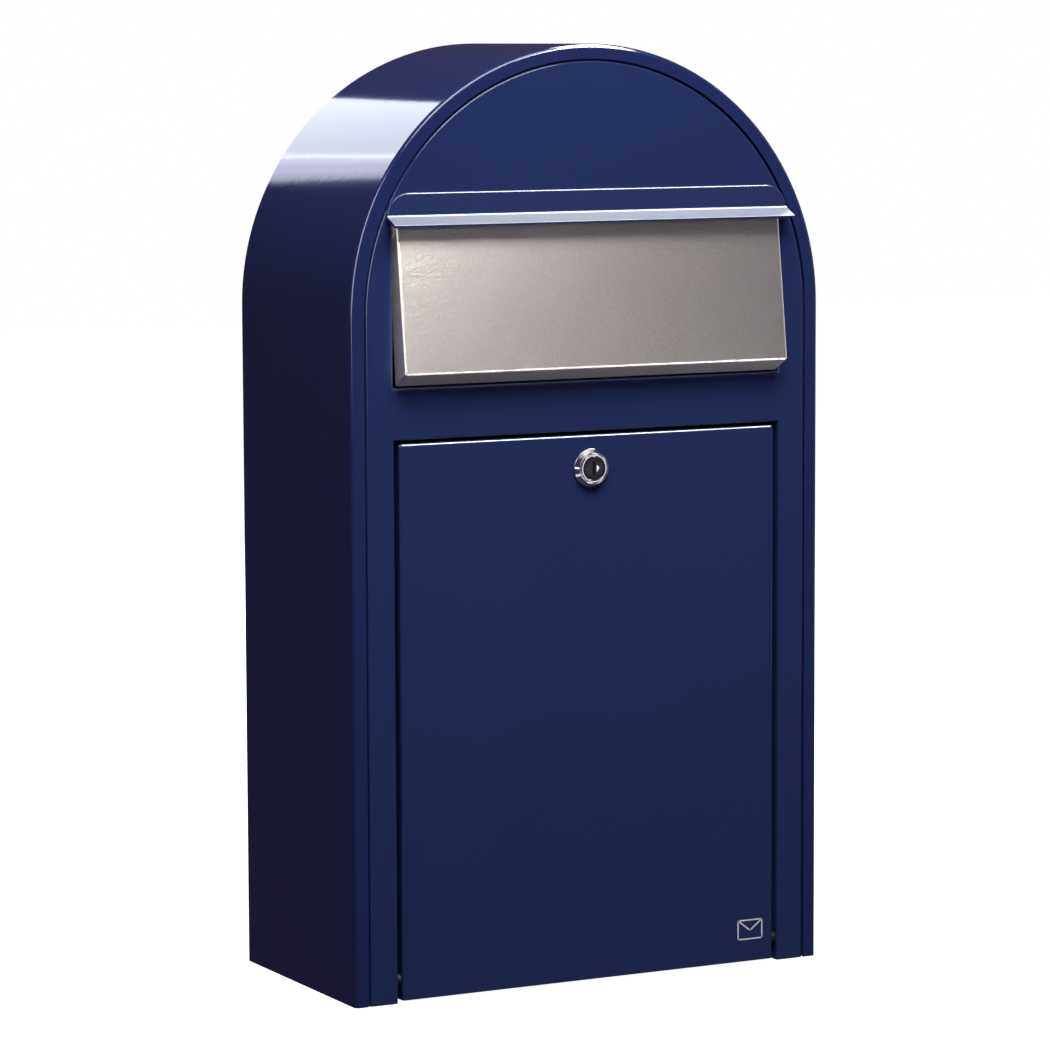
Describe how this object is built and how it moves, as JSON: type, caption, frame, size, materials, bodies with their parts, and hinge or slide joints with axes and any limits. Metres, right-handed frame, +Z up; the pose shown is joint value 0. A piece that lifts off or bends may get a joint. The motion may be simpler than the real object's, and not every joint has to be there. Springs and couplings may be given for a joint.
{
  "type": "wall mailbox",
  "caption": "Arched sheet-steel letter box with a lift-up flap under a drip visor and a lockable drop-down door.",
  "frame": {"origin": "under the middle of the whole object, in the plane of its underside", "axes": "+Z up, +X to the right of someone facing the front, -Y out of the front, +Y towards the wall"},
  "size_m": [0.336, 0.1781, 0.5999],
  "materials": {
    "painted_body": "gloss dark blue powder coat",
    "painted_front": "gloss dark blue powder coat",
    "stainless_sheet": "brushed stainless sheet",
    "stainless_rod": "drawn stainless",
    "lock_chrome": "polished chrome",
    "lock_face": "dull grey die-cast face",
    "plated_steel": "zinc plated",
    "wafer_brass": "stamped brass",
    "buffer_rubber": "black rubber",
    "white_nylon": "natural nylon",
    "black_nylon": "black nylon"
  },
  "bodies": {
    "box": {"body_shell": "painted_body", "frame_arch": "painted_body", "frame_post_left": "painted_body", "frame_post_right": "painted_body", "back_panel": "painted_body", "front_panel": "painted_front", "floor_panel": "painted_body", "visor": "painted_front", "letter_guard": "painted_body", "lock_keeper": "painted_body", "door_stop_left": "painted_body", "door_stop_right": "painted_body", "door_buffers": "buffer_rubber", "flap_buffers": "buffer_rubber", "rod_bush_left": "white_nylon", "rod_bush_right": "white_nylon", "hinge_pin_left": "plated_steel", "hinge_pin_right": "plated_steel", "hinge_washer_left": "black_nylon", "hinge_washer_right": "black_nylon"},
    "flap": {"flap": "stainless_sheet", "flap_rod": "stainless_rod", "rod_clips": "plated_steel"},
    "door": {"door_panel": "painted_front", "lock_collar": "lock_chrome", "lock_housing": "lock_chrome", "lock_washer": "plated_steel", "lock_nut": "plated_steel"},
    "lock_plug": {"lock_plug": "lock_face", "lock_wafers": "wafer_brass", "lock_cam": "plated_steel", "cam_washer": "plated_steel", "cam_screw": "plated_steel"}
  },
  "joints": [
    {"name": "flap_lift", "type": "hinge", "parent": "box", "child": "flap", "pos_m": [0, -0.06985, 0.485], "axis": [-1, 0, 0], "range_deg": [0, 60]},
    {"name": "door_drop", "type": "hinge", "parent": "box", "child": "door", "pos_m": [0, -0.06885, 0.014], "axis": [1, 0, 0], "range_deg": [0, 90]},
    {"name": "lock_turn", "type": "hinge", "parent": "door", "child": "lock_plug", "pos_m": [0, -0.07, 0.332], "axis": [0, 1, 0], "range_deg": [0, 90]}
  ]
}
